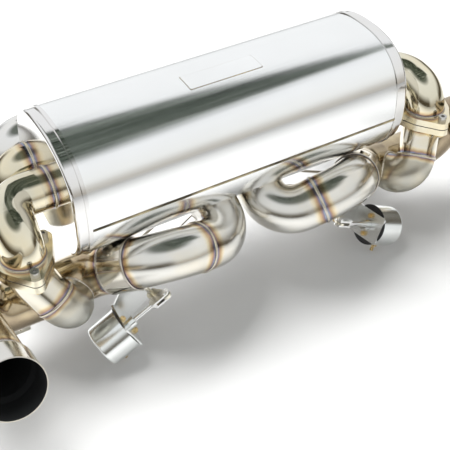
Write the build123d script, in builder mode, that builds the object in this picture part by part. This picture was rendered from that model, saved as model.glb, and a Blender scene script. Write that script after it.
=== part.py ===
from build123d import *
import math
import os

# Racing exhaust: one through-mounted oval muffler with an inlet pipe, a bypass valve
# and two outlets at each end. Lengths in mm, +X to the right end, +Y rearwards, +Z up.
# The origin is the outer face of the hanger bracket, midway between its two bolts.

# muffler
SHELL_LENGTH = 528.0
SHELL_WIDTH = 216.0
SHELL_HEIGHT = 204.0
OVAL_POWER = 2.5
SHELL_WALL = 1.5
CAP_REACH = 18.0
CAP_WALL = 2.0
LIP_HEIGHT = 1.4
LIP_WIDTH = 4.0
LIP_BACK = 0.5
CAP_ROUND = 5.0
SLIP_GAP = 0.3
WELD_GAP = 0.4

# pipes
FEED_R = 38.1
QUIET_R = 31.75
PIPE_WALL = 1.5
CORE_WALL = 1.2

# hanger bracket
HANGER_WIDTH = 120.0
HANGER_HEIGHT = 46.0
HANGER_WALL = 4.0
HANGER_DEPTH = 32.0
HANGER_PITCH = 84.0
HANGER_HOLE_R = 4.5

# nameplate
PLATE_LENGTH = 120.0
PLATE_WIDTH = 34.0
PLATE_WALL = 0.8
PLATE_Y = -11.0

# inside the muffler
BAFFLE_X = 96.0
BAFFLE_WALL = 1.5
BAFFLE_VENT_R = 9.0
CORE_HOLE_R = 4.0
CORE_ROWS = 7
CORE_HOLES_ROUND = 8
WOOL_WALL = 9.0
WOOL_MARGIN = 6.0
TRANSFER_LENGTH = 78.0

# front elbow, flange joint and down pipe (positions from the muffler's axis)
FRONT_Y = -5.0
FRONT_Z = -2.0
FLANGE_X = 353.0
FLANGE_Y = -77.0
FLANGE_Z = -55.0
FLANGE_WALL = 11.0
GASKET_WALL = 1.6
FLANGE_BOLT_R = 44.0
FLANGE_EYE_R = 12.5
FLANGE_SEAT_R = 40.0
SCREW_R = 4.0
SCREW_HEAD_R = 6.5
SCREW_HEAD_H = 8.0
SCREW_FIT = 0.4
NUT_R = 6.6
NUT_H = 6.5
BOLT_ANGLE = 30.0

# rear elbow and tail pipe
REAR_Y = 70.0
REAR_Z = -8.0
REAR_X = 318.0
REAR_END_Z = -124.0
TAIL_X = 205.0
TAIL_Y = 152.0
TAIL_Z = -24.0
TAIL_OUT_X = 300.0
TAIL_END_Z = -144.0

# inlet
INLET_X = 450.0
INLET_Y = -312.0
INLET_Z = -13.0
COLLAR_R = 41.6
COLLAR_LENGTH = 52.0
COLLAR_CONE = 9.0
CROSS_Y = -43.0
CROSS_Z = -162.0

# valve, measured along the pipe from its outer weld
VALVE_X = 227.0
VALVE_Y = -74.0
VALVE_Z = -133.0
VALVE_LENGTH = 44.0
VALVE_WALL = 3.5
BOSS_R = 9.0
BOSS_REACH = 16.0
BOSS_CAP = 2.0
SHAFT_R = 4.0
SHAFT_FIT = 0.05
FLAP_WALL = 2.5
FLAP_FIT = 0.4
FLAP_SCREW_PITCH = 26.0
LEVER_DROP = 80.0
LEVER_WALL = 4.0
LEVER_REACH = 20.0
LEVER_WIDTH = 16.0
LEVER_TURN = 37.5
LEVER_PIN_R = 3.0
SLOT_PLAY = 0.95

# actuator
CAN_R = 35.0
CAN_LENGTH = 50.0
CAN_WALL = 1.5
CAN_SET_BACK = 60.0
COVER_WALL = 3.0
NECK_R = 9.0
NECK_LENGTH = 16.0
ROD_R = 4.0
ROD_FIT = 0.06
ROD_IN = 12.0
DIAPHRAGM_R = 30.0
STUD_PITCH = 34.0
STUD_R = 3.0
BRACKET_WALL = 3.0
BRACKET_BACK = 13.0

HALF = SHELL_LENGTH / 2
CAP_FACE = HALF + CAP_REACH
FEED_BORE = FEED_R - PIPE_WALL
QUIET_BORE = QUIET_R - PIPE_WALL
HANGER_FACE = SHELL_WIDTH / 2 + HANGER_DEPTH

os.makedirs("parts", exist_ok=True)


def at(side, x, y, z):
    """A point from the muffler's axis: x outwards on this side, y and z from the axis."""
    return Vector(side * x, y - HANGER_FACE, z)


def save(part, name):
    """Names the part and writes its STEP file."""
    part.label = name
    export_step(part, "parts/" + name + ".step")


def oval(grow):
    """Points of the muffler's oval, grown by a distance on each half axis."""
    points = []
    for step in range(64):
        angle = 2 * math.pi * (step + 0.5) / 64
        c = math.cos(angle)
        s = math.sin(angle)
        half_w = SHELL_WIDTH / 2 + grow
        half_h = SHELL_HEIGHT / 2 + grow
        y = half_w * math.copysign(abs(c) ** (2 / OVAL_POWER), c)
        z = half_h * math.copysign(abs(s) ** (2 / OVAL_POWER), s)
        points.append((y, z))
    return points


def oval_plane(x):
    """Plane across the muffler at x, its own x along +Y and its own y along +Z."""
    return Plane(origin=(x, -HANGER_FACE, 0), x_dir=(0, 1, 0), z_dir=(1, 0, 0))


def oval_solid(x_from, x_to, grow):
    """Solid slice of the oval between two positions along the muffler."""
    low = min(x_from, x_to)
    face = make_face(Spline(*oval(grow), periodic=True))
    return extrude(oval_plane(low) * face, amount=abs(x_to - x_from))


def bar(points, radii, radius):
    """Solid round bar along straight runs joined by tangent arcs."""
    if radii:
        path = FilletPolyline(*points, radius=radii)
    else:
        path = Line(points[0], points[1])
    start = Plane(origin=path @ 0, z_dir=path % 0)
    return sweep(start * Circle(radius), path=path)


def pipe(points, radii, radius, wall):
    """Hollow pipe along straight runs joined by tangent arcs."""
    return bar(points, radii, radius) - bar(points, radii, radius - wall)


def rod(start, direction, length, radius):
    """Straight round bar from a point."""
    return bar([start, start + direction * length], [], radius)


def drum(plane, radius, low, high):
    """Round disc on a plane between two heights."""
    return extrude(plane.offset(low) * Circle(radius), amount=high - low)


def hexagon(plane, radius, low, high):
    """Hexagonal block on a plane between two heights."""
    return extrude(plane.offset(low) * RegularPolygon(radius, 6), amount=high - low)


def flange_outline(grow):
    """Three eyes round a centre, joined by their tangents."""
    eyes = Sketch()
    for turn in range(3):
        angle = math.radians(BOLT_ANGLE + 120 * turn)
        spot = Pos(FLANGE_BOLT_R * math.cos(angle), FLANGE_BOLT_R * math.sin(angle))
        eyes += spot * Circle(FLANGE_EYE_R + grow)
    return make_hull(eyes.edges() + Circle(FLANGE_SEAT_R + grow).edges())


def bolt_spots(side):
    """Centres of the flange bolts, mirrored with the side."""
    spots = []
    for turn in range(3):
        angle = math.radians(BOLT_ANGLE + 120 * turn)
        along = side * FLANGE_BOLT_R * math.cos(angle)
        spots.append((along, FLANGE_BOLT_R * math.sin(angle)))
    return spots


# --- muffler shell, with the openings for the tail pipes and the bypass elbows ---
def tail_points(side):
    """Path of the tail pipe, from inside the muffler's rear chamber to its outlet."""
    first = at(side, TAIL_X, SHELL_WIDTH / 2 - 16, TAIL_Z)
    corner = at(side, TAIL_X, TAIL_Y, TAIL_Z)
    outer = at(side, TAIL_OUT_X, TAIL_Y, TAIL_Z)
    return [first, corner, outer, at(side, TAIL_OUT_X, TAIL_Y, TAIL_END_Z)]


TAIL_BENDS = [46, 46]


def bypass_points(side):
    """Path of the bypass pipe, from the valve's outer weld up into the muffler."""
    start = at(side, VALVE_X, VALVE_Y, VALVE_Z)
    crest = at(side, 160, -140, -86)
    turn = at(side, 42, -112, -126)
    return [start, crest, turn, at(side, 42, -30, -88)]


BYPASS_BENDS = [80, 50]

shell_openings = []
for side in (-1, 1):
    shell_openings.append(bar(tail_points(side), TAIL_BENDS, FEED_R + WELD_GAP))
    shell_openings.append(bar(bypass_points(side), BYPASS_BENDS, FEED_R + WELD_GAP))
muffler_shell_body = oval_solid(-HALF, HALF, 0)
muffler_shell_cut = oval_solid(-HALF, HALF, -SHELL_WALL)
with BuildPart() as muffler_shell:
    add(muffler_shell_body)
    add(muffler_shell_cut, mode=Mode.SUBTRACT)
    for opening in shell_openings:
        add(opening, mode=Mode.SUBTRACT)
save(muffler_shell.part, "muffler_shell")

plate_skin = oval_solid(-HALF, HALF, PLATE_WALL + 0.1) - oval_solid(-HALF, HALF, 0.1)
with BuildPart() as nameplate:
    with BuildSketch(Plane((0, PLATE_Y - HANGER_FACE, SHELL_HEIGHT / 2 + 3))):
        RectangleRounded(PLATE_LENGTH, PLATE_WIDTH, 3)
    extrude(amount=-12)
    add(plate_skin, mode=Mode.INTERSECT)
save(nameplate.part, "nameplate")

# --- hanger bracket on the back of the muffler, its two holes at the origin's height ---
hanger_bracket_cut = oval_solid(-HALF, HALF, 0.1)
with BuildPart() as hanger_bracket:
    with BuildSketch(Plane.XY.offset(-HANGER_HEIGHT / 2)):
        with Locations((0, -HANGER_DEPTH / 2 - 6)):
            Rectangle(HANGER_WIDTH, HANGER_DEPTH + 12)
        with Locations((0, -HANGER_DEPTH / 2 - 6 - HANGER_WALL)):
            Rectangle(HANGER_WIDTH - 2 * HANGER_WALL, HANGER_DEPTH + 12, mode=Mode.SUBTRACT)
    extrude(amount=HANGER_HEIGHT)
    with BuildSketch(Plane.XZ.offset(-1)):
        with GridLocations(HANGER_PITCH, 1, 2, 1):
            Circle(HANGER_HOLE_R)
    extrude(amount=HANGER_WALL + 2, mode=Mode.SUBTRACT)
    add(hanger_bracket_cut, mode=Mode.SUBTRACT)
save(hanger_bracket.part, "hanger_bracket")

flange_screw_list = []
flange_nut_list = []
bracket_screw_list = []
nipple_list = []
tab_list = []

for side, end in ((-1, "left"), (1, "right")):
    out = Vector(side, 0, 0)
    front_start = at(side, HALF - 3, FRONT_Y, FRONT_Z)
    front_path = [
        front_start,
        at(side, FLANGE_X - 2, FRONT_Y, FRONT_Z),
        at(side, FLANGE_X, FLANGE_Y, FRONT_Z - 12),
        at(side, FLANGE_X, FLANGE_Y, FLANGE_Z + GASKET_WALL / 2 + FLANGE_WALL - 3),
    ]
    rear_path = [
        at(side, HALF - 3, REAR_Y, REAR_Z),
        at(side, REAR_X, REAR_Y, REAR_Z),
        at(side, REAR_X, REAR_Y, REAR_END_Z),
    ]

    # --- end cap: a rolled lip round the shell and a domed face with two openings ---
    end_cap_body = oval_solid(side * (HALF + 1), side * CAP_FACE, -1)
    end_cap_body2 = oval_solid(side * (HALF - LIP_WIDTH), side * (HALF + LIP_BACK + 1), LIP_HEIGHT)
    end_cap_cut = oval_solid(side * (HALF - LIP_WIDTH), side * HALF, SLIP_GAP)
    end_cap_cut2 = oval_solid(side * (HALF - 1), side * (CAP_FACE - CAP_WALL), -4)
    end_cap_cut3 = rod(front_start, out, 60, QUIET_R + WELD_GAP)
    end_cap_cut4 = rod(rear_path[0], out, 46, QUIET_R + WELD_GAP)
    with BuildPart() as end_cap:
        add(end_cap_body)
        rim = end_cap.edges().filter_by(Plane.YZ).group_by(Axis.X)[0 if side < 0 else -1]
        fillet(rim, CAP_ROUND)
        add(end_cap_body2)
        add(end_cap_cut, mode=Mode.SUBTRACT)
        add(end_cap_cut2, mode=Mode.SUBTRACT)
        add(end_cap_cut3, mode=Mode.SUBTRACT)
        add(end_cap_cut4, mode=Mode.SUBTRACT)
    save(end_cap.part, "end_cap_" + end)

    # --- inside: baffle, perforated core, wool and plain transfer tube ---
    baffle_body = oval_solid(side * BAFFLE_X, side * (BAFFLE_X + BAFFLE_WALL), -SHELL_WALL - SLIP_GAP)
    with BuildPart() as baffle:
        add(baffle_body)
        with BuildSketch(oval_plane(side * BAFFLE_X - 3)):
            with Locations((FRONT_Y, FRONT_Z), (REAR_Y, REAR_Z)):
                Circle(QUIET_R + WELD_GAP)
            with Locations((-62, 40), (-62, -40), (35, 62), (35, -66)):
                Circle(BAFFLE_VENT_R)
        extrude(amount=8, mode=Mode.SUBTRACT)
    save(baffle.part, "baffle_" + end)

    core_start = at(side, BAFFLE_X - 4, FRONT_Y, FRONT_Z)
    core_length = HALF - 3 - BAFFLE_X + 4
    core_holes = []
    for row in range(CORE_ROWS):
        x = BAFFLE_X + 18 + row * (core_length - 36) / (CORE_ROWS - 1)
        for turn in range(CORE_HOLES_ROUND // 2):
            angle = math.pi * (2 * turn + row % 2) / CORE_HOLES_ROUND
            ray = Vector(0, math.cos(angle), math.sin(angle))
            hole_start = at(side, x, FRONT_Y, FRONT_Z) - ray * 40
            core_holes.append(rod(hole_start, ray, 80, CORE_HOLE_R))
    core_tube_body = rod(core_start, out, core_length, QUIET_R)
    core_tube_cut = rod(core_start, out, core_length, QUIET_R - CORE_WALL)
    with BuildPart() as core_tube:
        add(core_tube_body)
        add(core_tube_cut, mode=Mode.SUBTRACT)
        for hole in core_holes:
            add(hole, mode=Mode.SUBTRACT)
    save(core_tube.part, "core_tube_" + end)

    wool_start = core_start + out * (4 + BAFFLE_WALL + WOOL_MARGIN)
    wool_length = core_length - 8 - 2 * WOOL_MARGIN
    wool_wrap_body = rod(wool_start, out, wool_length, QUIET_R + SLIP_GAP + WOOL_WALL)
    wool_wrap_cut = rod(wool_start, out, wool_length, QUIET_R + SLIP_GAP)
    with BuildPart() as wool_wrap:
        add(wool_wrap_body)
        add(wool_wrap_cut, mode=Mode.SUBTRACT)
    save(wool_wrap.part, "wool_wrap_" + end)

    transfer_start = at(side, BAFFLE_X - TRANSFER_LENGTH / 3, REAR_Y, REAR_Z)
    transfer_tube_body = rod(transfer_start, out, TRANSFER_LENGTH, QUIET_R)
    transfer_tube_cut = rod(transfer_start, out, TRANSFER_LENGTH, QUIET_R - CORE_WALL)
    with BuildPart() as transfer_tube:
        add(transfer_tube_body)
        add(transfer_tube_cut, mode=Mode.SUBTRACT)
    save(transfer_tube.part, "transfer_tube_" + end)

    # --- elbows and tail pipe ---
    front_elbow_body = pipe(front_path, [38, 36], QUIET_R, PIPE_WALL)
    with BuildPart() as front_elbow:
        add(front_elbow_body)
    save(front_elbow.part, "front_elbow_" + end)

    rear_elbow_body = pipe(rear_path, [38], QUIET_R, PIPE_WALL)
    with BuildPart() as rear_elbow:
        add(rear_elbow_body)
    save(rear_elbow.part, "rear_elbow_" + end)

    tail_pipe_body = pipe(tail_points(side), TAIL_BENDS, FEED_R, PIPE_WALL)
    with BuildPart() as tail_pipe:
        add(tail_pipe_body)
    save(tail_pipe.part, "tail_pipe_" + end)

    # --- flange joint: two three-bolt plates with a gasket between them ---
    joint_at = at(side, FLANGE_X, FLANGE_Y, FLANGE_Z)
    joint_plane = Plane(origin=joint_at)
    outline = flange_outline(0)
    if side < 0:
        outline = mirror(outline, about=Plane.YZ)
    seat = Circle(QUIET_R + WELD_GAP)
    throat = Circle(QUIET_BORE)
    holes = Sketch()
    for spot in bolt_spots(side):
        holes += Pos(*spot) * Circle(SCREW_R + SCREW_FIT)
    plate = outline - holes
    top_low = GASKET_WALL / 2

    flange_upper_body = extrude(joint_plane.offset(top_low) * (plate - throat), amount=FLANGE_WALL - 3)
    flange_upper_body2 = extrude(joint_plane.offset(top_low + FLANGE_WALL - 3) * (plate - seat), amount=3)
    with BuildPart() as flange_upper:
        add(flange_upper_body)
        add(flange_upper_body2)
    save(flange_upper.part, "flange_upper_" + end)

    flange_gasket_body = extrude(joint_plane.offset(-top_low) * (plate - throat), amount=GASKET_WALL)
    with BuildPart() as flange_gasket:
        add(flange_gasket_body)
    save(flange_gasket.part, "flange_gasket_" + end)

    down_end = at(side, 327, -103, -120)
    down_start = at(side, FLANGE_X, FLANGE_Y, FLANGE_Z - top_low - FLANGE_WALL + 3)
    down_corner = at(side, FLANGE_X, FLANGE_Y, FLANGE_Z - 24)
    flange_lower_body = extrude(joint_plane.offset(-top_low) * (plate - throat), amount=3 - FLANGE_WALL)
    flange_lower_body2 = extrude(joint_plane.offset(3 - FLANGE_WALL - top_low) * (plate - seat), amount=-3)
    with BuildPart() as flange_lower:
        add(flange_lower_body)
        add(flange_lower_body2)
    save(flange_lower.part, "flange_lower_" + end)

    for spot in bolt_spots(side):
        here = joint_plane * Pos(*spot)
        spot_plane = Plane(origin=here.position)
        top = top_low + FLANGE_WALL
        screw = drum(spot_plane, SCREW_R, -top - NUT_H - 3, top)
        screw += drum(spot_plane, SCREW_HEAD_R, top, top + SCREW_HEAD_H)
        screw -= hexagon(spot_plane, 3.4, top + SCREW_HEAD_H - 4, top + SCREW_HEAD_H + 1)
        flange_screw_list.append(screw)
        nut = hexagon(spot_plane, NUT_R / math.cos(math.pi / 6), -top - NUT_H, -top)
        nut -= drum(spot_plane, SCREW_R + 0.05, -top - NUT_H - 1, -top + 1)
        flange_nut_list.append(nut)

    down_line = (down_end - down_corner).normalized()
    down_pipe_body = pipe([down_start, down_corner, down_end], [34], QUIET_R, PIPE_WALL)
    with BuildPart() as down_pipe:
        add(down_pipe_body)
    save(down_pipe.part, "down_pipe_" + end)

    # --- inlet pipe, its slip collar, and the branch that feeds the down pipe ---
    valve_start = at(side, VALVE_X, VALVE_Y, VALVE_Z)
    crest = bypass_points(side)[1]
    flow = (crest - valve_start).normalized()
    inlet_end = at(side, INLET_X, INLET_Y, INLET_Z)
    inlet_turn = at(side, INLET_X, CROSS_Y - 7, -106)
    inlet_line = (inlet_turn - inlet_end).normalized()
    inlet_points = [
        inlet_end + inlet_line * COLLAR_LENGTH,
        inlet_turn,
        at(side, INLET_X - 45, CROSS_Y, CROSS_Z),
        at(side, 300, CROSS_Y, CROSS_Z),
        valve_start - flow * 34,
        valve_start,
    ]
    inlet_bends = [45, 50, 60, 60]
    branch_points = [
        down_end,
        down_end + down_line * 46.5,
        at(side, 290, -43, -160),
    ]
    branch_bend = [32.5]
    inlet_pipe_body = bar(inlet_points, inlet_bends, FEED_R)
    inlet_pipe_cut = bar(inlet_points, inlet_bends, FEED_BORE)
    inlet_pipe_cut2 = bar(branch_points, branch_bend, QUIET_BORE)
    with BuildPart() as inlet_pipe:
        add(inlet_pipe_body)
        add(inlet_pipe_cut, mode=Mode.SUBTRACT)
        add(inlet_pipe_cut2, mode=Mode.SUBTRACT)
    save(inlet_pipe.part, "inlet_pipe_" + end)

    branch_elbow_body = bar(branch_points, branch_bend, QUIET_R)
    branch_elbow_cut = bar(branch_points, branch_bend, QUIET_BORE)
    branch_elbow_cut2 = bar(inlet_points, inlet_bends, FEED_R + WELD_GAP)
    with BuildPart() as branch_elbow:
        add(branch_elbow_body)
        add(branch_elbow_cut, mode=Mode.SUBTRACT)
        add(branch_elbow_cut2, mode=Mode.SUBTRACT)
    kept = branch_elbow.part.solids().sort_by(SortBy.VOLUME)[-1]
    save(Part(kept.wrapped), "branch_elbow_" + end)

    across = Vector(1, 0, 0)
    collar_plane = Plane(origin=inlet_end, x_dir=across, z_dir=across.cross(inlet_line * -1))
    with BuildPart() as slip_collar:
        with BuildSketch(collar_plane):
            with BuildLine():
                Polyline(
                    (COLLAR_R - PIPE_WALL, 0),
                    (COLLAR_R, 0),
                    (COLLAR_R, -COLLAR_LENGTH + COLLAR_CONE),
                    (FEED_R, -COLLAR_LENGTH),
                    (FEED_BORE, -COLLAR_LENGTH),
                    (COLLAR_R - PIPE_WALL, -COLLAR_LENGTH + COLLAR_CONE),
                    close=True,
                )
            make_face()
        revolve(axis=Axis(inlet_end, inlet_line))
    save(slip_collar.part, "slip_collar_" + end)

    tab_at = at(side, 372, CROSS_Y, CROSS_Z)
    tab = Pos(*tab_at) * Pos(0, 0, -FEED_R - 11) * Box(30, 4, 26)
    tab -= Pos(*tab_at) * Pos(0, 0, -FEED_R - 15) * Rot(90, 0, 0) * Cylinder(4.3, 12)
    tab -= bar(inlet_points, inlet_bends, FEED_R + 0.1)
    tab_list.append(tab)

    # --- bypass valve: body, shaft, flap and slotted lever ---
    middle = valve_start + flow * (VALVE_LENGTH / 2)
    aim = Vector(-side * 0.877, -0.027, 0.479).normalized()
    spin = flow.cross(aim) if side < 0 else aim.cross(flow)
    spin = spin.normalized()
    reach = (flow - aim * flow.dot(aim)).normalized()
    body_plane = Plane(origin=middle, z_dir=flow)
    body_r = FEED_R + VALVE_WALL - PIPE_WALL
    lever_at = middle - spin * LEVER_DROP
    boss_end = body_r + BOSS_REACH
    boss_top = body_r + BOSS_CAP
    shaft_room = rod(middle - spin * (boss_end + 1), spin, boss_end + body_r, SHAFT_R + SHAFT_FIT)
    valve_body_body = drum(body_plane, body_r, -VALVE_LENGTH / 2, VALVE_LENGTH / 2)
    valve_body_body2 = rod(middle - spin * boss_end, spin, boss_end + boss_top, BOSS_R)
    valve_body_cut = drum(body_plane, FEED_BORE, -VALVE_LENGTH, VALVE_LENGTH)
    with BuildPart() as valve_body:
        add(valve_body_body)
        add(valve_body_body2)
        add(valve_body_cut, mode=Mode.SUBTRACT)
        add(shaft_room, mode=Mode.SUBTRACT)
    save(valve_body.part, "valve_body_" + end)

    flap_plane = Plane(origin=middle, x_dir=flow.cross(spin), z_dir=flow)
    flap_disc = drum(flap_plane, FEED_BORE - FLAP_FIT, -FLAP_WALL / 2, FLAP_WALL / 2)
    flap_slot = flap_plane * Box(2 * SHAFT_R + 2, 2 * FEED_BORE + 0.4, FLAP_WALL + 0.1)
    with BuildPart() as flap_plate:
        add(flap_disc)
    save(flap_plate.part, "flap_plate_" + end)

    flap_shaft_body = rod(lever_at - spin * 9, spin, LEVER_DROP + 9 + body_r - 1.5, SHAFT_R)
    with BuildPart() as flap_shaft:
        add(flap_shaft_body)
        add(flap_slot, mode=Mode.SUBTRACT)
    save(flap_shaft.part, "flap_shaft_" + end)

    lean = Vector(aim) * math.sin(math.radians(LEVER_TURN))
    lever_aim = (lean + reach * math.cos(math.radians(LEVER_TURN))).normalized()
    lever_plane = Plane(origin=lever_at, x_dir=lever_aim, z_dir=spin)
    pin_from = LEVER_REACH
    pin_to = LEVER_REACH / math.cos(math.radians(LEVER_TURN))
    slot_middle = (pin_from + pin_to) / 2
    slot_r = LEVER_PIN_R + SLOT_PLAY
    lever_long = pin_to + 2
    with BuildPart() as valve_lever:
        with BuildSketch(lever_plane.offset(-LEVER_WALL / 2)):
            Circle(LEVER_WIDTH / 2 + 1)
            with Locations((lever_long / 2, 0)):
                Rectangle(lever_long, LEVER_WIDTH)
            with Locations((lever_long, 0)):
                Circle(LEVER_WIDTH / 2)
            Circle(SHAFT_R + SHAFT_FIT, mode=Mode.SUBTRACT)
            with Locations((slot_middle, 0)):
                SlotCenterToCenter(pin_to - pin_from + 2, 2 * slot_r, mode=Mode.SUBTRACT)
        extrude(amount=LEVER_WALL)
    save(valve_lever.part, "valve_lever_" + end)

    lever_nut_body = hexagon(lever_plane, 7.5, -LEVER_WALL / 2 - 6, -LEVER_WALL / 2)
    lever_nut_cut = drum(lever_plane, SHAFT_R + SHAFT_FIT, -LEVER_WALL / 2 - 7, 0)
    with BuildPart() as lever_nut:
        add(lever_nut_body)
        add(lever_nut_cut, mode=Mode.SUBTRACT)
    save(lever_nut.part, "lever_nut_" + end)

    # --- bypass pipe: a plain length to the middle weld, then the elbow into the muffler ---
    path = bypass_points(side)
    weld_at = Vector(*path[1]) * 0.56 + Vector(*path[2]) * 0.44
    weld_aim = (path[2] - path[1]).normalized()
    weld_plane = Plane(origin=weld_at, z_dir=weld_aim)
    valve_cut = drum(body_plane, 60, -VALVE_LENGTH * 2, VALVE_LENGTH / 2)
    after_weld = extrude(weld_plane * Rectangle(600, 600), amount=300)
    before_weld = extrude(weld_plane * Rectangle(600, 600), amount=-300)
    bypass_pipe_body = bar(path, BYPASS_BENDS, FEED_R)
    bypass_pipe_cut = bar(path, BYPASS_BENDS, FEED_BORE)
    with BuildPart() as bypass_pipe:
        add(bypass_pipe_body)
        add(bypass_pipe_cut, mode=Mode.SUBTRACT)
        add(valve_cut, mode=Mode.SUBTRACT)
        add(after_weld, mode=Mode.SUBTRACT)
    save(bypass_pipe.part, "bypass_pipe_" + end)

    bypass_elbow_body = bar(path, BYPASS_BENDS, FEED_R)
    bypass_elbow_cut = bar(path, BYPASS_BENDS, FEED_BORE)
    with BuildPart() as bypass_elbow:
        add(bypass_elbow_body)
        add(bypass_elbow_cut, mode=Mode.SUBTRACT)
        add(before_weld, mode=Mode.SUBTRACT)
    save(bypass_elbow.part, "bypass_elbow_" + end)

    # --- actuator: can, cover with neck, bracket, and the rod with its clevis pin ---
    travel = LEVER_REACH * math.tan(math.radians(LEVER_TURN))
    line_at = lever_at + reach * LEVER_REACH
    face_at = line_at - aim * CAN_SET_BACK
    can_plane = Plane(origin=face_at, x_dir=reach, z_dir=aim)
    actuator_cover_body = drum(can_plane, CAN_R, -COVER_WALL, 0)
    actuator_cover_body2 = drum(can_plane, NECK_R, 0, NECK_LENGTH)
    actuator_cover_cut = drum(can_plane, ROD_R + ROD_FIT, -COVER_WALL - 1, NECK_LENGTH + 1)
    with BuildPart() as actuator_cover:
        add(actuator_cover_body)
        add(actuator_cover_body2)
        add(actuator_cover_cut, mode=Mode.SUBTRACT)
    save(actuator_cover.part, "actuator_cover_" + end)

    can_room = drum(can_plane, CAN_R - CAN_WALL, -CAN_LENGTH + CAN_WALL, -COVER_WALL + 1)
    nipple_at = face_at - aim * (CAN_LENGTH - 14)
    nipple_room = rod(nipple_at, spin * -1, CAN_R + 4, 3.1)
    actuator_can_body = drum(can_plane, CAN_R, -CAN_LENGTH, -COVER_WALL)
    with BuildPart() as actuator_can:
        add(actuator_can_body)
        fillet(actuator_can.edges().group_by(Axis(face_at, aim))[0], 4)
        add(can_room, mode=Mode.SUBTRACT)
        add(nipple_room, mode=Mode.SUBTRACT)
    save(actuator_can.part, "actuator_can_" + end)
    nipple = rod(nipple_at - spin * (CAN_R + 14), spin, 10, 3.0)
    nipple += rod(nipple_at - spin * (CAN_R + 4), spin, 6, 2.9)
    nipple += rod(nipple_at - spin * (CAN_R + 4), spin, 3, 6.0)
    nipple -= rod(nipple_at - spin * (CAN_R + 15), spin, 20, 1.6)
    nipple_list.append(nipple)

    plate_plane = Plane(origin=lever_at - reach * BRACKET_BACK, x_dir=aim, z_dir=reach)
    up = 1 if (plate_plane.y_dir.dot(spin) > 0) else -1
    boss_low = LEVER_DROP - body_r
    actuator_bracket_cut = drum(body_plane, body_r + 0.1, -VALVE_LENGTH, VALVE_LENGTH)
    actuator_bracket_cut2 = rod(middle - spin * (boss_end + 1), spin, 60, BOSS_R + 0.4)
    with BuildPart() as actuator_bracket:
        with BuildSketch(plate_plane.offset(-BRACKET_WALL)):
            with BuildLine():
                Polyline(
                    (-CAN_SET_BACK, -24 * up),
                    (-CAN_SET_BACK, 18 * up),
                    (-20, (boss_low + 2) * up),
                    (14, (boss_low + 2) * up),
                    (14, 22 * up),
                    (-8, -12 * up),
                    close=True,
                )
            make_face()
        extrude(amount=BRACKET_WALL)
        with BuildSketch(can_plane):
            with Locations((-LEVER_REACH - BRACKET_BACK - BRACKET_WALL + 33, 0)):
                RectangleRounded(66, 50, 5)
            Circle(NECK_R + 0.4, mode=Mode.SUBTRACT)
            with Locations((0, STUD_PITCH / 2), (0, -STUD_PITCH / 2)):
                Circle(STUD_R + 0.3, mode=Mode.SUBTRACT)
        extrude(amount=BRACKET_WALL)
        add(actuator_bracket_cut, mode=Mode.SUBTRACT)
        add(actuator_bracket_cut2, mode=Mode.SUBTRACT)
    save(actuator_bracket.part, "actuator_bracket_" + end)

    for spread in (STUD_PITCH / 2, -STUD_PITCH / 2):
        stud_plane = Plane(origin=face_at + can_plane.y_dir * spread, z_dir=aim)
        screw = hexagon(stud_plane, 5.0, BRACKET_WALL, BRACKET_WALL + 4)
        screw += drum(stud_plane, STUD_R - 0.2, 0, BRACKET_WALL + 6)
        bracket_screw_list.append(screw)

    pin_at = line_at + aim * travel
    rod_back = face_at - aim * ROD_IN
    rod_length = (pin_at - rod_back).length - 20
    rod_body = rod(rod_back, aim, rod_length, ROD_R)
    diaphragm = drum(Plane(origin=rod_back, z_dir=aim), DIAPHRAGM_R, -2, 0)
    clevis_plane = Plane(origin=pin_at, x_dir=aim, z_dir=spin)
    cheek = Pos(-9, 0) * SlotCenterToCenter(22, 14)
    upper_cheek = extrude(clevis_plane.offset(LEVER_WALL / 2 + 0.6) * cheek, amount=3)
    lower_cheek = extrude(clevis_plane.offset(-LEVER_WALL / 2 - 3.6) * cheek, amount=3)
    bridge = clevis_plane * Pos(-21, 0) * Box(5, 12, LEVER_WALL + 7.2)
    clevis_pin = drum(clevis_plane, LEVER_PIN_R, -LEVER_WALL / 2 - 5, LEVER_WALL / 2 + 5)
    pin_head = drum(clevis_plane, 4.6, LEVER_WALL / 2 + 3.6, LEVER_WALL / 2 + 5.6)
    with BuildPart() as actuator_rod:
        add(rod_body)
        add(diaphragm)
        add(upper_cheek)
        add(lower_cheek)
        add(bridge)
        add(clevis_pin)
        add(pin_head)
    save(actuator_rod.part, "actuator_rod_" + end)

for group, name in (
    (flange_screw_list, "flange_screws"),
    (flange_nut_list, "flange_nuts"),
    (bracket_screw_list, "bracket_screws"),
    (nipple_list, "hose_nipples"),
    (tab_list, "support_tabs"),
):
    save(Compound(children=group), name)
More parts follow.
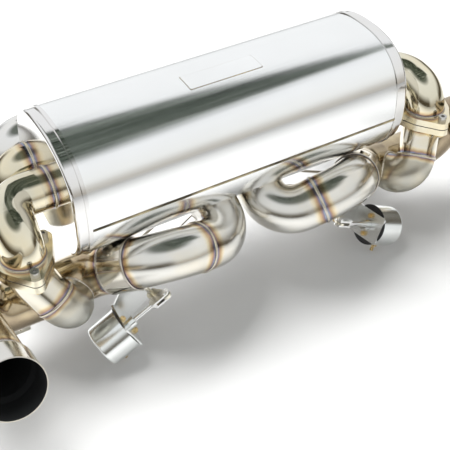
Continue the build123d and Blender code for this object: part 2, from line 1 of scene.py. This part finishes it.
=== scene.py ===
import bpy
import math
import numpy as np
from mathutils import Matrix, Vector


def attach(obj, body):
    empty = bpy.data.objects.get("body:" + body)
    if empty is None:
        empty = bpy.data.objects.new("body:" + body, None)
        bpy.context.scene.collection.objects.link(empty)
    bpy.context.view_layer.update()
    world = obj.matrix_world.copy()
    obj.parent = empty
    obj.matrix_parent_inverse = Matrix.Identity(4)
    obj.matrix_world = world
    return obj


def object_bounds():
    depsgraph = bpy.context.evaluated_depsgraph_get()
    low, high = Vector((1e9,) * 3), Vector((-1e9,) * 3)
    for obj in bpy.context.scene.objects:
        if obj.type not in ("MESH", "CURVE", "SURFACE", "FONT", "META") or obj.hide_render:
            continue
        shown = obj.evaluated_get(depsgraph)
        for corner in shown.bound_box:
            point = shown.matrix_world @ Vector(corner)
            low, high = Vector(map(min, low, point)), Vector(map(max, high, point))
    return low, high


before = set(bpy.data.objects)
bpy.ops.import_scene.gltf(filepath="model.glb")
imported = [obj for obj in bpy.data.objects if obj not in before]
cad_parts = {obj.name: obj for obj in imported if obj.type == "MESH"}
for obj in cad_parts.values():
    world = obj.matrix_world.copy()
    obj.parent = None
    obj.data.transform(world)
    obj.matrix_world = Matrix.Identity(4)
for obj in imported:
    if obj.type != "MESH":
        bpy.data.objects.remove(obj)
OLD = [list(corner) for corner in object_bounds()]

# --- sizes shared with the CAD, in metres, the origin on the hanger face ---
AXIS_Y = -0.140
HALF_W, HALF_H, POWER = 0.108, 0.102, 2.5
HALF_L = 0.264
FEED_R, QUIET_R = 0.0381, 0.03175
COLLAR_BORE, COLLAR_LENGTH, VALVE_LENGTH = 0.0411, 0.052, 0.044
# places of the pipes, in millimetres from the muffler's axis
CAP_X = 282
FRONT_Y, FRONT_Z = -5, -2
REAR_Y, REAR_Z = 70, -8
FLANGE_X, FLANGE_Y = 353, -77
TAIL_X, TAIL_Y, TAIL_Z = 205, 152, -24
TAIL_OUT_X, TAIL_END_Z = 300, -144
INLET_X, BYPASS_X = 450, 42
CROSS_Y, CROSS_Z = -43, -162
# a bead's size, and how far it spreads sideways and stands up, as shares of it
BEAD, BEAD_SPREAD, BEAD_CROWN = 0.0019, 1.25, 0.62


UP, REARWARDS = (0, 0, 1), (0, 1, 0)


def at(side, x, y, z):
    """Point given from the muffler's axis in millimetres, x outwards on this side."""
    return np.array([side * x / 1000, y / 1000 + AXIS_Y, z / 1000])


def unit(v):
    return v / np.linalg.norm(v)


# --- shader helpers ---
def new_material(name):
    mat = bpy.data.materials.new(name)
    mat.use_nodes = True
    return mat, mat.node_tree, mat.node_tree.nodes["Principled BSDF"]


def add_node(tree, kind, **values):
    node = tree.nodes.new(kind)
    for key, value in values.items():
        setattr(node, key, value)
    return node


def link(tree, a, b):
    tree.links.new(a, b)


def maths(tree, operation, first, second=None, clamp=False):
    """A Math node on two sockets or numbers."""
    node = add_node(tree, "ShaderNodeMath", operation=operation, use_clamp=clamp)
    for index, value in enumerate((first, second)):
        if value is None:
            continue
        if isinstance(value, (int, float)):
            node.inputs[index].default_value = value
        else:
            link(tree, value, node.inputs[index])
    return node.outputs[0]


def vector_maths(tree, operation, first, second, output=0):
    node = add_node(tree, "ShaderNodeVectorMath", operation=operation)
    link(tree, first, node.inputs[0])
    node.inputs[1].default_value = tuple(second)
    return node.outputs[output]


def ramp(tree, factor, stops):
    node = add_node(tree, "ShaderNodeValToRGB")
    bar = node.color_ramp
    while len(bar.elements) < len(stops):
        bar.elements.new(0.5)
    for element, (place, colour) in zip(bar.elements, stops):
        element.position = place
        element.color = (*colour, 1)
    link(tree, factor, node.inputs[0])
    return node.outputs[0]


def blend(tree, amount, first, second):
    """A colour mix; the second may be a plain colour."""
    node = add_node(tree, "ShaderNodeMix", data_type="RGBA")
    link(tree, amount, node.inputs[0])
    link(tree, first, node.inputs[6])
    if isinstance(second, tuple):
        node.inputs[7].default_value = (*second, 1)
    else:
        link(tree, second, node.inputs[7])
    return node.outputs[2]


def noise(tree, coordinates, scale, detail=4.0, rough=0.55, stretch=(1, 1, 1)):
    mapping = add_node(tree, "ShaderNodeMapping")
    mapping.inputs["Scale"].default_value = stretch
    link(tree, coordinates, mapping.inputs[0])
    node = add_node(tree, "ShaderNodeTexNoise")
    node.inputs["Scale"].default_value = scale
    node.inputs["Detail"].default_value = detail
    node.inputs["Roughness"].default_value = rough
    link(tree, mapping.outputs[0], node.inputs["Vector"])
    return node.outputs[0]


STEEL = (0.80, 0.79, 0.77)
STRAW = (0.80, 0.68, 0.44)
BROWN = (0.48, 0.33, 0.20)
PURPLE = (0.27, 0.20, 0.25)
BLUE = (0.27, 0.33, 0.44)
GOLDEN = (0.87, 0.82, 0.66)
SILVER = (0.80, 0.785, 0.74)
BLACK, WHITE = (0, 0, 0), (1, 1, 1)
# temper colours from the cool metal to the weld itself
TEMPER = [(0.0, STEEL), (0.3, STRAW), (0.62, BROWN), (0.78, PURPLE), (0.87, BLUE), (1.0, (0.5, 0.5, 0.5))]


def heat(tree, place, welds):
    """0 far from every weld to 1 on it: each weld is (centre, normal, reach, width)."""
    total = None
    wobble = noise(tree, place, 38.0, 3.0)
    for centre, normal, reach, width in welds:
        away = vector_maths(tree, "SUBTRACT", place, centre)
        along = maths(tree, "ABSOLUTE", vector_maths(tree, "DOT_PRODUCT", away, normal, 1))
        length = add_node(tree, "ShaderNodeVectorMath", operation="LENGTH")
        link(tree, away, length.inputs[0])
        near = maths(tree, "LESS_THAN", length.outputs[1], reach)
        fall = maths(tree, "DIVIDE", along, width)
        swing = maths(tree, "MULTIPLY", maths(tree, "SUBTRACT", wobble, 0.5), 0.5)
        fall = maths(tree, "ADD", fall, swing)
        glow = maths(tree, "MULTIPLY", maths(tree, "SUBTRACT", 1.0, fall, clamp=True), near)
        total = glow if total is None else maths(tree, "MAXIMUM", total, glow)
    return total


def metal(name, base=STEEL, rough=0.07, welds=(), grain=(1, 1, 1), grain_scale=30.0, rough_spread=0.06,
          bump=0.0, cloud=0.06, gold=0.0):
    """Bare metal: cloudy reflectance, drawn grain in its roughness and bump, temper colours at welds."""
    mat, tree, shader = new_material(name)
    place = add_node(tree, "ShaderNodeTexCoord").outputs["Object"]
    fine = noise(tree, place, grain_scale, 6.0, 0.6, grain)
    broad = noise(tree, place, 9.0, 2.0)
    tint = ramp(tree, broad, [(0.3, tuple(c * (1 - cloud) for c in base)), (0.7, base)])
    if gold:
        patches = ramp(tree, noise(tree, place, 14.0, 3.0), [(0.45, BLACK), (0.7, WHITE)])
        tint = blend(tree, maths(tree, "MULTIPLY", patches, gold), tint, STRAW)
    if welds:
        level = heat(tree, place, welds)
        temper = ramp(tree, level, TEMPER)
        tint = blend(tree, maths(tree, "MULTIPLY", level, 2.0, clamp=True), tint, temper)
    link(tree, tint, shader.inputs["Base Color"])
    shader.inputs["Metallic"].default_value = 1.0
    spread = add_node(tree, "ShaderNodeMapRange")
    link(tree, fine, spread.inputs[0])
    spread.inputs["To Min"].default_value = max(rough - rough_spread / 2, 0.01)
    spread.inputs["To Max"].default_value = rough + rough_spread
    link(tree, spread.outputs[0], shader.inputs["Roughness"])
    if bump:
        relief = add_node(tree, "ShaderNodeBump")
        relief.inputs["Strength"].default_value = bump
        relief.inputs["Distance"].default_value = 0.0004
        link(tree, fine, relief.inputs["Height"])
        link(tree, relief.outputs[0], shader.inputs["Normal"])
    return mat


def paint(name, colour, rough=0.5, metallic=0.0, scale=200.0, bump=0.2):
    mat, tree, shader = new_material(name)
    place = add_node(tree, "ShaderNodeTexCoord").outputs["Object"]
    fine = noise(tree, place, scale, 5.0)
    low = tuple(c * 0.75 for c in colour)
    link(tree, ramp(tree, fine, [(0.3, low), (0.7, colour)]), shader.inputs["Base Color"])
    shader.inputs["Roughness"].default_value = rough
    shader.inputs["Metallic"].default_value = metallic
    relief = add_node(tree, "ShaderNodeBump")
    relief.inputs["Strength"].default_value = bump
    relief.inputs["Distance"].default_value = 0.0003
    link(tree, fine, relief.inputs["Height"])
    link(tree, relief.outputs[0], shader.inputs["Normal"])
    return mat


# --- centre lines of the pipes ---
def bend_path(points, radii, step=0.003):
    """Straight runs joined by tangent arcs, as points about one step apart."""
    points = [np.asarray(p, float) for p in points]
    line = [points[0]]
    for index in range(1, len(points) - 1):
        a = unit(points[index - 1] - points[index])
        b = unit(points[index + 1] - points[index])
        radius = radii[index - 1] / 1000
        turn = math.pi - math.acos(float(np.clip(a @ b, -1, 1)))
        cut = radius * math.tan(turn / 2)
        start = points[index] + a * cut
        ahead, inward = -a, unit(b + a * (-(a @ b)))
        count = max(int(radius * turn / step), 2)
        for k in range(count + 1):
            angle = turn * k / count
            line.append(start + radius * (math.sin(angle) * ahead + (1 - math.cos(angle)) * inward))
    line.append(points[-1])
    dense = [line[0]]
    for a, b in zip(line, line[1:]):
        count = max(int(np.linalg.norm(b - a) / step), 1)
        for k in range(1, count + 1):
            dense.append(a + (b - a) * k / count)
    return np.array(dense)


def rings(path):
    """Unit tangents and two carried cross directions along a path."""
    tangents = np.gradient(path, axis=0)
    tangents /= np.linalg.norm(tangents, axis=1)[:, None]
    first = unit(np.cross(tangents[0], [0.21, 0.35, 0.91]))
    ones, twos = [], []
    for t in tangents:
        first = unit(first - t * (first @ t))
        ones.append(first)
        twos.append(np.cross(t, first))
    return tangents, np.array(ones), np.array(twos)


def make_mesh(name, grid, closed_u=True):
    """Quads over a grid of points whose first index is u and second is v, closed round v."""
    count_u, count_v = grid.shape[:2]
    faces = []
    for i in range(count_u if closed_u else count_u - 1):
        for j in range(count_v):
            i2, j2 = (i + 1) % count_u, (j + 1) % count_v
            faces.append((i * count_v + j, i2 * count_v + j, i2 * count_v + j2, i * count_v + j2))
    mesh = bpy.data.meshes.new(name)
    mesh.from_pydata(grid.reshape(-1, 3).tolist(), [], faces)
    mesh.polygons.foreach_set("use_smooth", [True] * len(faces))
    obj = bpy.data.objects.new(name, mesh)
    bpy.context.collection.objects.link(obj)
    return obj


def bead(name, loop, normals, size=BEAD, pitch=0.0028):
    """Weld bead: a closed tube along a loop, its section a circle of the given size whose radius
    swells by a rounded wave once per pitch, each wave leaning forward like a laid coin."""
    loop = np.asarray(loop)
    count = len(loop)
    length = np.linalg.norm(np.roll(loop, -1, 0) - loop, axis=1).sum()
    waves = max(int(length / pitch), 8)
    tangents = np.roll(loop, -1, 0) - np.roll(loop, 1, 0)
    tangents /= np.linalg.norm(tangents, axis=1)[:, None]
    up = normals - tangents * (normals * tangents).sum(1)[:, None]
    up /= np.linalg.norm(up, axis=1)[:, None]
    out = np.cross(tangents, up)
    u = np.arange(count)[:, None] * 2 * math.pi * waves / count
    v = np.arange(12)[None, :] * 2 * math.pi / 12
    lean = u + 1.1 * np.cos(v)
    radius = size * (0.86 + 0.16 * np.abs(np.sin(lean / 2)))
    across = np.cos(v)[..., None] * out[:, None] * BEAD_SPREAD
    raised = np.sin(v)[..., None] * up[:, None] * BEAD_CROWN
    grid = loop[:, None] + radius[..., None] * (across + raised)
    obj = make_mesh(name, grid)
    obj.data.materials.append(BEAD_METAL)
    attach(obj, "muffler")
    return obj


def ring_loop(centre, normal, radius, step=0.0006):
    """A circle of points round a centre, and its outward directions."""
    normal = unit(np.asarray(normal, float))
    a = unit(np.cross(normal, [0.31, 0.17, 0.93]))
    b = np.cross(normal, a)
    count = int(2 * math.pi * radius / step)
    t = np.arange(count)[:, None] * 2 * math.pi / count
    out = np.cos(t) * a + np.sin(t) * b
    return centre + radius * out, out


def resample(loop, normals, step=0.0006):
    """The same closed loop at even steps."""
    close = np.vstack([loop, loop[:1]])
    direction = np.vstack([normals, normals[:1]])
    far = np.r_[0, np.cumsum(np.linalg.norm(np.diff(close, axis=0), axis=1))]
    spots = np.linspace(0, far[-1], int(far[-1] / step), endpoint=False)
    points = np.stack([np.interp(spots, far, close[:, k]) for k in range(3)], 1)
    outs = np.stack([np.interp(spots, far, direction[:, k]) for k in range(3)], 1)
    return points, outs / np.linalg.norm(outs, axis=1)[:, None]


def oval_level(points):
    """Below 1 inside the muffler's oval, above 1 outside."""
    y = np.abs(points[..., 1] - AXIS_Y) / HALF_W
    z = np.abs(points[..., 2]) / HALF_H
    return (y ** POWER + z ** POWER) ** (1 / POWER)


def oval_point(x, angle, grow=0.0):
    """Point on the muffler's skin at a position along it and an angle from +Y."""
    c, s = np.cos(angle), np.sin(angle)
    y = (HALF_W + grow) * np.sign(c) * np.abs(c) ** (2 / POWER)
    z = (HALF_H + grow) * np.sign(s) * np.abs(s) ** (2 / POWER)
    return np.stack([x + 0 * y, y + AXIS_Y, z], -1)


def meeting(path, radius, inside):
    """Where a round pipe's surface first meets another surface: for each angle round the pipe, the
    point along it at which the given test of position turns true."""
    tangents, ones, twos = rings(path)
    angles = np.arange(180) * 2 * math.pi / 180
    points, outs = [], []
    for angle in angles:
        out = math.cos(angle) * ones + math.sin(angle) * twos
        skin = path + radius * out
        hit = np.argmax(inside(skin))
        points.append(skin[hit])
        outs.append(unit(out[hit] - tangents[hit]))
    return resample(np.array(points), np.array(outs))


# --- materials of the CAD nodes ---
BEAD_METAL = metal("weld_bead", (0.62, 0.58, 0.52), 0.22, gold=0.6, rough_spread=0.1)
cap_metal = metal("polished_cap", (0.84, 0.83, 0.82), 0.09, rough_spread=0.06, gold=0.06, bump=0.02)
inner_metal = metal("mill_steel", (0.45, 0.44, 0.42), 0.35)
bracket_metal = metal("bracket_sheet", (0.80, 0.81, 0.80), 0.24, grain=(1, 6, 1), grain_scale=60, bump=0.06)
plate_metal = metal("nameplate_sheet", (0.94, 0.945, 0.94), 0.13, rough_spread=0.08)
flange_metal = metal("flange_face", (0.88, 0.82, 0.65), 0.18, grain=(1, 1, 8), grain_scale=80, gold=0.7,
                     bump=0.04)
zinc = metal("zinc_plate", (0.82, 0.78, 0.66), 0.24, grain_scale=120, bump=0.05)
rod_metal = metal("turned_rod", (0.86, 0.86, 0.85), 0.2, grain_scale=120, bump=0.04)
brass = metal("plated_nut", (0.76, 0.58, 0.30), 0.25, grain_scale=150, bump=0.05)
can_metal = metal("drawn_can", (0.84, 0.86, 0.85), 0.16, grain=(8, 8, 1), grain_scale=40, bump=0.04)
screw_metal = metal("screw_head", (0.55, 0.54, 0.52), 0.28, grain_scale=160, bump=0.05)
valve_metal = metal("valve_body_steel", (0.74, 0.70, 0.62), 0.13, gold=0.7, grain_scale=60, bump=0.03)
wool = paint("fibre_wool", (0.70, 0.62, 0.45), 0.95)
gasket_mat = paint("gasket", (0.03, 0.03, 0.03), 0.7)
rubber = paint("black_rubber", (0.015, 0.015, 0.016), 0.55)
# near-black painted shade for the insides of the pipe bores, where shade falls
painted_bore_shade = paint("painted_bore_shade", (0.02, 0.021, 0.022), 0.75, scale=60.0)


def dress(name, *mats):
    """Gives a CAD node its materials."""
    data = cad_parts[name].data
    data.materials.clear()
    for mat in mats:
        data.materials.append(mat)
    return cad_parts[name]


def darken_bore(name, mat, path, radius):
    """Faces of a node that look inwards to its centre line take the near-black painted shade of the bore."""
    obj = dress(name, mat, painted_bore_shade)
    mesh = obj.data
    count = len(mesh.polygons)
    centre = np.zeros(count * 3)
    mesh.polygons.foreach_get("center", centre)
    centre = centre.reshape(-1, 3)
    near = np.full(count, 9.0)
    for point in path[::2]:
        near = np.minimum(near, np.linalg.norm(centre - point, axis=1))
    index = (near < radius - 0.0007).astype(np.int32)
    mesh.polygons.foreach_set("material_index", index)


# the nodes of each side that need no weld colours
SIDE_METALS = {
    "baffle": inner_metal, "core_tube": inner_metal, "transfer_tube": inner_metal, "flap_plate": inner_metal,
    "wool_wrap": wool, "flange_gasket": gasket_mat, "flange_upper": flange_metal,
    "flange_lower": flange_metal, "valve_body": valve_metal, "flap_shaft": zinc,
    "valve_lever": zinc, "lever_nut": brass,
    "actuator_bracket": bracket_metal, "actuator_can": can_metal, "actuator_cover": can_metal,
    "actuator_rod": rod_metal, "end_cap": cap_metal}
for end in ("left", "right"):
    for node, mat in SIDE_METALS.items():
        dress(node + "_" + end, mat)
# the nodes shared by both sides
SHARED_METALS = {
    "nameplate": plate_metal, "hanger_bracket": bracket_metal, "flange_screws": screw_metal,
    "flange_nuts": brass, "bracket_screws": brass, "hose_nipples": brass, "support_tabs": zinc}
for node, mat in SHARED_METALS.items():
    dress(node, mat)


def rubber_ring(end):
    """The cover's flat face takes rubber between two radii round the actuator's axis."""
    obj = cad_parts["actuator_cover_" + end]
    mesh = obj.data
    mesh.materials.append(rubber)
    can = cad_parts["actuator_can_" + end].data
    middle, centre = (np.mean([list(v.co) for v in m.vertices], axis=0) for m in (can, mesh))
    axis = unit(centre - middle)
    for face in mesh.polygons:
        away = np.array(face.center) - middle
        radius = np.linalg.norm(away - axis * (away @ axis))
        if 0.012 < radius < 0.029 and np.array(face.normal) @ axis > 0.6:
            face.material_index = 1


rubber_ring("left")
rubber_ring("right")

shell_welds = []
for side, end in ((-1, "left"), (1, "right")):
    # centre lines, as in the CAD
    tail = bend_path([at(side, TAIL_X, 92, TAIL_Z), at(side, TAIL_X, TAIL_Y, TAIL_Z),
                      at(side, TAIL_OUT_X, TAIL_Y, TAIL_Z), at(side, TAIL_OUT_X, TAIL_Y, TAIL_END_Z)], [46, 46])
    down_corner, down_end = at(side, FLANGE_X, FLANGE_Y, -79), at(side, 327, -103, -120)
    down_line = unit(down_end - down_corner)
    valve_start, crest = at(side, 227, -74, -133), at(side, 160, -140, -86)
    flow = unit(crest - valve_start)
    inlet_end, inlet_turn = at(side, INLET_X, -312, -13), at(side, INLET_X, -50, -106)
    inlet_line = unit(inlet_turn - inlet_end)
    collar_seam = inlet_end + inlet_line * COLLAR_LENGTH
    inlet = bend_path([collar_seam, inlet_turn, at(side, 405, CROSS_Y, CROSS_Z), at(side, 300, CROSS_Y, CROSS_Z),
                       valve_start - flow * 0.034, valve_start], [45, 50, 60, 60])
    branch_corner = down_end + down_line * 0.0465
    branch = bend_path([down_end, branch_corner, at(side, 290, CROSS_Y, CROSS_Z + 2)], [32.5], 0.0008)
    low_turn = at(side, BYPASS_X, -112, -126)
    bypass = bend_path([valve_start, crest, low_turn, at(side, BYPASS_X, -30, -88)], [80, 50])
    weld_mid = crest * 0.56 + low_turn * 0.44
    weld_aim = unit(low_turn - crest)
    valve_end = valve_start + flow * VALVE_LENGTH

    cap_front, cap_rear = at(side, CAP_X, FRONT_Y, FRONT_Z), at(side, CAP_X, REAR_Y, REAR_Z)
    out = np.array([side, 0, 0])
    shell_entry = at(side, BYPASS_X, -52, -97)
    tail_entry = at(side, TAIL_X, 106, TAIL_Z)
    flange_top, flange_low = at(side, FLANGE_X, FLANGE_Y, -43.2), at(side, FLANGE_X, FLANGE_Y, -66.8)

    # every weld as its centre, its direction, how far round it the colours reach, and their width
    weld_front = [(cap_front, out, 0.06, 0.016), (flange_top, UP, 0.05, 0.014)]
    weld_rear = [(cap_rear, out, 0.06, 0.02)]
    weld_tail = [(tail_entry, REARWARDS, 0.07, 0.022)]
    weld_down = [(flange_low, UP, 0.05, 0.012), (down_end, down_line, 0.055, 0.016)]
    weld_branch = [(down_end, down_line, 0.055, 0.012)]
    weld_inlet = [(collar_seam, inlet_line, 0.07, 0.022), (valve_start, flow, 0.06, 0.02)]
    weld_collar = [(collar_seam, inlet_line, 0.07, 0.012)]
    weld_elbow = [(weld_mid, weld_aim, 0.06, 0.021)]
    weld_bypass = weld_elbow + [(valve_end, flow, 0.06, 0.018)]

    dress("front_elbow_" + end,
          metal("front_elbow_steel_" + end, GOLDEN, 0.09, welds=weld_front, gold=0.55, cloud=0.25))
    dress("rear_elbow_" + end,
          metal("rear_elbow_steel_" + end, GOLDEN, 0.09, welds=weld_rear, gold=0.6, cloud=0.25))
    dress("tail_pipe_" + end, metal("tail_pipe_steel_" + end, rough=0.1, welds=weld_tail, gold=0.2))
    dress("down_pipe_" + end,
          metal("down_pipe_steel_" + end, (0.80, 0.76, 0.66), 0.13, welds=weld_down, gold=0.5))
    dress("branch_elbow_" + end,
          metal("branch_elbow_steel_" + end, (0.50, 0.49, 0.44), 0.3, welds=weld_branch, gold=0.35,
                grain_scale=90, bump=0.05))
    inlet_steel = metal("inlet_pipe_steel_" + end, (0.40, 0.32, 0.22), 0.14, welds=weld_inlet, gold=0.6)
    darken_bore("inlet_pipe_" + end, inlet_steel, inlet, FEED_R)
    collar_steel = metal("slip_collar_steel_" + end, (0.74, 0.72, 0.68), 0.12, welds=weld_collar, gold=0.4)
    collar_path = bend_path([inlet_end - inlet_line * 0.001, collar_seam + inlet_line * 0.004], [])
    darken_bore("slip_collar_" + end, collar_steel, collar_path, COLLAR_BORE)
    dress("bypass_pipe_" + end,
          metal("bypass_pipe_steel_" + end, SILVER, 0.17, welds=weld_bypass, gold=0.3, cloud=0.22))
    dress("bypass_elbow_" + end,
          metal("bypass_elbow_steel_" + end, SILVER, 0.17, welds=weld_elbow, gold=0.35, cloud=0.22))
    shell_welds += [(shell_entry, UP, 0.06, 0.02), (tail_entry, REARWARDS, 0.055, 0.03)]

    # beads round the butt joints
    for label, centre, normal, radius in (
            ("front_cap", cap_front, out, QUIET_R), ("rear_cap", cap_rear, out, QUIET_R),
            ("front_flange", flange_top, UP, QUIET_R), ("down_flange", flange_low, UP, QUIET_R),
            ("down_branch", down_end, down_line, QUIET_R), ("collar", collar_seam, inlet_line, FEED_R),
            ("valve_in", valve_start, flow, FEED_R + 0.0008),
            ("valve_out", valve_end, flow, FEED_R + 0.0008),
            ("bypass_middle", weld_mid, weld_aim, FEED_R)):
        loop, normals = ring_loop(np.asarray(centre), normal, radius + 0.0004)
        bead("bead_" + label + "_" + end, loop, normals)

    # beads where one pipe runs into another or into the muffler
    dense_inlet = inlet[::3]

    def in_inlet(points):
        near = np.full(len(points), 9.0)
        for point in dense_inlet:
            near = np.minimum(near, np.linalg.norm(points - point, axis=1))
        return near < FEED_R + 0.0006

    loop, normals = meeting(branch, QUIET_R, in_inlet)
    bead("bead_branch_" + end, loop, normals)
    loop, normals = meeting(bypass, FEED_R, lambda p: oval_level(p) < 1.0)
    bead("bead_bypass_entry_" + end, loop, normals)
    loop, normals = meeting(tail[::-1], FEED_R, lambda p: oval_level(p) < 1.0)
    bead("bead_tail_entry_" + end, loop, normals)

dress("muffler_shell",
      metal("polished_shell", (0.93, 0.935, 0.93), 0.15, welds=shell_welds, grain=(0.5, 16, 16),
            grain_scale=22, rough_spread=0.10, bump=0.10, cloud=0.03))

# --- lap seam along the lower front of the shell: a thin strip standing off the skin, its near-black colour painted shade of the gap at the lap edge ---
low_angle = math.pi + 0.105
count_x, count_v = 240, 10
x = np.linspace(-HALF_L + 0.001, HALF_L - 0.001, count_x)
v = np.arange(count_v) / count_v * 2 * math.pi
seam_angle = low_angle + 0.014 * np.cos(v)
seam_grow = 0.0006 + 0.0006 * np.sin(v)
grid = np.stack([oval_point(np.full(count_v, k), seam_angle, seam_grow) for k in x])
seam = make_mesh("lap_seam", grid, closed_u=False)
# near-black base: painted shade of the gap at the lap edge
seam_painted_shade = metal("seam_painted_shade", (0.10, 0.085, 0.06), 0.3, gold=0.95, grain=(1, 20, 20), bump=0.05)
seam.data.materials.append(seam_painted_shade)
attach(seam, "muffler")

# --- fine weld line round the nameplate ---
# a rectangle walked round by angle and laid on the skin
plate_x, plate_y, plate_shift = 0.060, 0.017, -0.011
turn = np.arange(720) * 2 * math.pi / 720
reach = 1.12 / np.maximum(np.abs(np.cos(turn)), np.abs(np.sin(turn)))
px = plate_x * np.clip(reach * np.cos(turn), -1, 1)
py = plate_y * np.clip(reach * np.sin(turn), -1, 1) + plate_shift
pz = HALF_H * (1 - (np.abs(py) / HALF_W) ** POWER) ** (1 / POWER) + 0.0003
plate_loop = np.stack([px, py + AXIS_Y, pz], 1)
plate_loop, plate_out = resample(plate_loop, np.tile([0.0, 0.0, 1.0], (720, 1)), 0.0005)
bead("bead_nameplate", plate_loop, plate_out, 0.0007, 0.002)

# --- camera ---
camera = bpy.data.objects.new("camera", bpy.data.cameras.new("camera"))
bpy.context.collection.objects.link(camera)
camera.location = (-0.5635, -1.1238, 0.8143)
camera.rotation_euler = (math.radians(90 - 42.02), 0, math.radians(-30.35))
camera.data.lens = 72
camera.data.sensor_width = 36
bpy.context.scene.camera = camera

# --- floor, overhead flag and lights ---
low = OLD[0][2] - 0.003


def card(name, centre, size, colour):
    """A level matt rectangle."""
    mesh = bpy.data.meshes.new(name)
    w, h = size[0] / 2, size[1] / 2
    mesh.from_pydata([(-w, -h, 0), (w, -h, 0), (w, h, 0), (-w, h, 0)], [], [(0, 1, 2, 3)])
    obj = bpy.data.objects.new(name, mesh)
    bpy.context.collection.objects.link(obj)
    obj.location = centre
    mat, tree, shader = new_material(name)
    shader.inputs["Base Color"].default_value = (*colour, 1)
    shader.inputs["Roughness"].default_value = 1.0
    mesh.materials.append(mat)
    return obj


card("floor", (0, 0, low), (14, 14), (0.60, 0.60, 0.597))
# a dark streaky flag overhead, seen only in the metal: wide to the left, narrow to the right
flag = card("dark_overhead", (0, 0, 2.3), (1, 1), (0.03, 0.036, 0.032))
flag_corners = ((-0.3, -0.95), (1.95, -0.40), (1.95, -0.20), (-0.3, 3.2))
for vertex, (x, y) in zip(flag.data.vertices, flag_corners):
    vertex.co = (x, y, 0)
tree = flag.data.materials[0].node_tree
place = add_node(tree, "ShaderNodeTexCoord").outputs["Object"]
streaks = noise(tree, place, 2.2, 6.0, 0.65, (0.3, 3.0, 1))
greens = ramp(tree, streaks, [(0.43, (0.014, 0.020, 0.015)), (0.54, (0.12, 0.15, 0.12)),
                              (0.66, (0.70, 0.76, 0.70))])
link(tree, greens, tree.nodes["Principled BSDF"].inputs["Base Color"])
flag.visible_camera = False
flag.visible_shadow = False
flag.visible_diffuse = False


def lamp(name, place, aim, size, energy):
    """A rectangular soft light at a place, aimed at a point."""
    light = bpy.data.objects.new(name, bpy.data.lights.new(name, "AREA"))
    light.data.shape = "RECTANGLE"
    light.data.size, light.data.size_y = size
    light.data.energy = energy
    light.location = place
    light.rotation_euler = (Vector(aim) - Vector(place)).to_track_quat("-Z", "Y").to_euler()
    bpy.context.collection.objects.link(light)
    return light


key = lamp("key", (-0.35, 0.50, 1.9), (0.05, -0.1, 0.0), (1.7, 1.3), 118)
key.visible_glossy = False

world = bpy.data.worlds.new("studio")
bpy.context.scene.world = world
world.use_nodes = True
tree = world.node_tree
# white above and behind, dim at the horizon, dark low down at both sides and straight overhead
direction = add_node(tree, "ShaderNodeSeparateXYZ")
link(tree, add_node(tree, "ShaderNodeTexCoord").outputs["Generated"], direction.inputs[0])
ceiling = (0.16, 0.18, 0.16)
horizon = ramp(tree, direction.outputs[2], [(0.0, (0.50, 0.47, 0.42)), (0.10, (0.62, 0.60, 0.56)),
                                            (0.30, (0.92, 0.93, 0.92)), (0.82, (0.96, 0.98, 1.0)),
                                            (0.93, ceiling)])
behind = ramp(tree, direction.outputs[1], [(0.0, BLACK), (0.35, WHITE)])
back = ramp(tree, direction.outputs[2], [(0.80, (0.97, 0.985, 1.0)), (0.93, ceiling)])
across = maths(tree, "ADD", maths(tree, "MULTIPLY", direction.outputs[0], 0.5), 0.5)
sides = ramp(tree, across, [(0.0, WHITE), (0.36, WHITE), (0.46, BLACK), (0.86, BLACK), (0.92, WHITE)])
low_part = ramp(tree, direction.outputs[2], [(0.12, WHITE), (0.45, BLACK)])
shade = maths(tree, "MULTIPLY", sides, low_part)

sky = blend(tree, shade, blend(tree, behind, horizon, back), (0.085, 0.07, 0.045))
link(tree, sky, tree.nodes["Background"].inputs["Color"])
tree.nodes["Background"].inputs["Strength"].default_value = 1.0
bpy.context.scene.view_settings.view_transform = "Standard"
